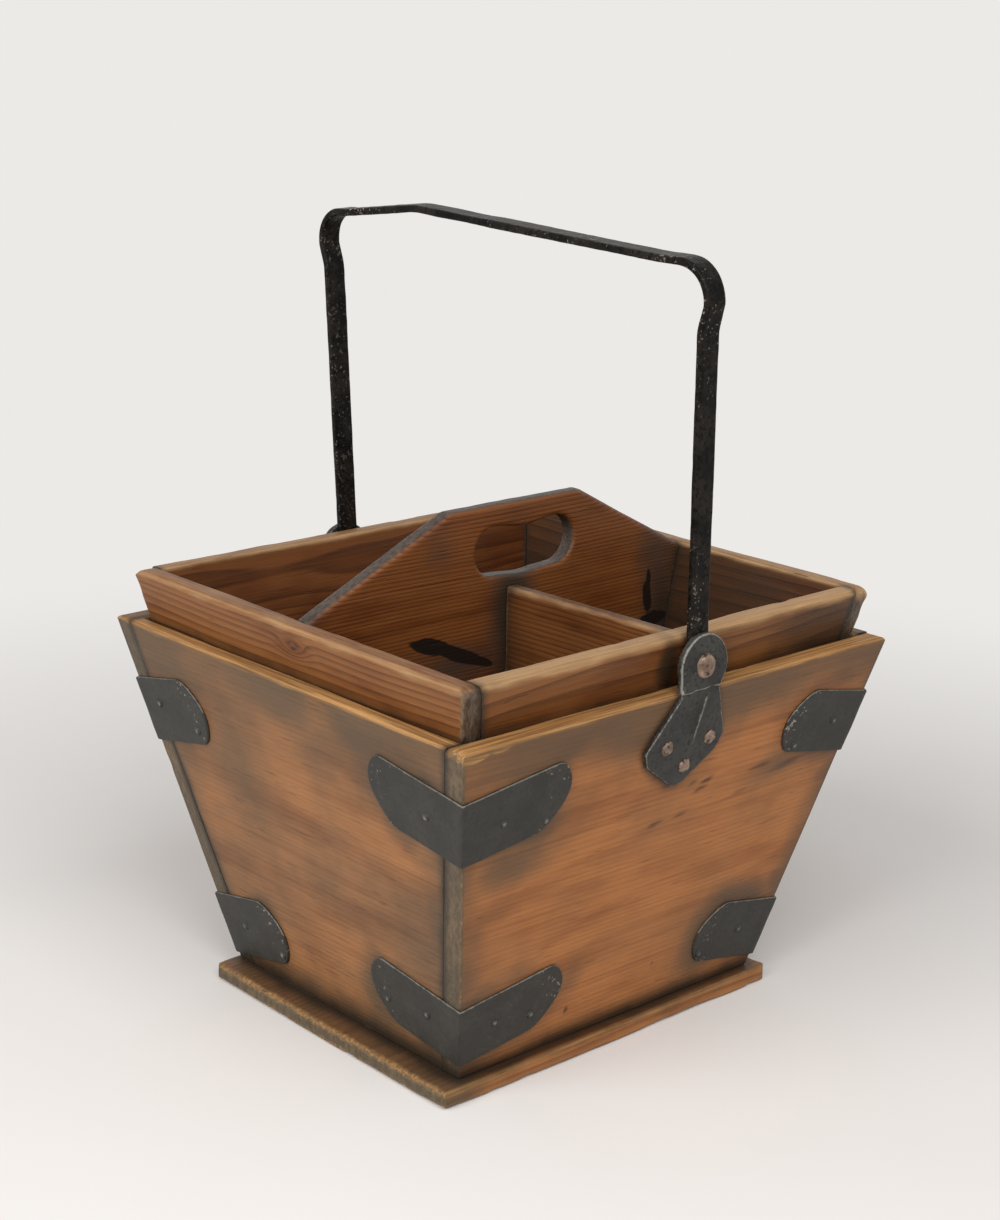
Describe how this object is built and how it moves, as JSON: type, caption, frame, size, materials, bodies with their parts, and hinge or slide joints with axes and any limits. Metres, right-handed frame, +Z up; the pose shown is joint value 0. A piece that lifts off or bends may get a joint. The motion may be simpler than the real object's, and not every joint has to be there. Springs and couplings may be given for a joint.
{
  "type": "housemaid's box",
  "caption": "Splayed wooden cleaning box with iron corner straps, a lift-out divided tray with a hand hole, and a swinging iron bail handle for carrying.",
  "frame": {"origin": "on the floor under the middle of the rim, at the underside of the base board", "axes": "+Z up, +X to the right along the front board, +Y to the back; the handle swings about Y"},
  "size_m": [0.356, 0.3534, 0.5033],
  "materials": {
    "box_wood": "worn waxed pine",
    "base_wood": "worn waxed pine with rough end grain",
    "tray_wood": "worn waxed pine, darker inside",
    "wrought_iron": "dark hammered iron, waxed",
    "handle_iron": "blackened iron with worn specks",
    "rivet_steel": "rubbed bright on the crown"
  },
  "bodies": {
    "box": {"base_board": "base_wood", "front_board": "box_wood", "back_board": "box_wood", "left_board": "box_wood", "right_board": "box_wood", "tray_bearer_left": "box_wood", "tray_bearer_right": "box_wood", "strap_upper_front_left": "wrought_iron", "strap_lower_front_left": "wrought_iron", "strap_upper_front_right": "wrought_iron", "strap_lower_front_right": "wrought_iron", "strap_upper_back_left": "wrought_iron", "strap_lower_back_left": "wrought_iron", "strap_upper_back_right": "wrought_iron", "strap_lower_back_right": "wrought_iron", "bracket_front": "wrought_iron", "bracket_back": "wrought_iron", "pivot_rivet_front": "rivet_steel", "pivot_rivet_back": "rivet_steel"},
    "tray": {"tray_left": "tray_wood", "tray_right": "tray_wood", "tray_front": "tray_wood", "tray_back": "tray_wood", "tray_floor": "tray_wood", "tray_divider": "tray_wood", "tray_partition": "tray_wood"},
    "handle": {"bail_handle": "handle_iron"}
  },
  "joints": [
    {"name": "tray_lift", "type": "slide", "parent": "box", "child": "tray", "axis": [0, 0, 1], "range_m": [0, 0.11]},
    {"name": "handle_swing", "type": "hinge", "parent": "box", "child": "handle", "pos_m": [0.0065, 0, 0.258], "axis": [0, 1, 0], "range_deg": [-87, 92]}
  ]
}
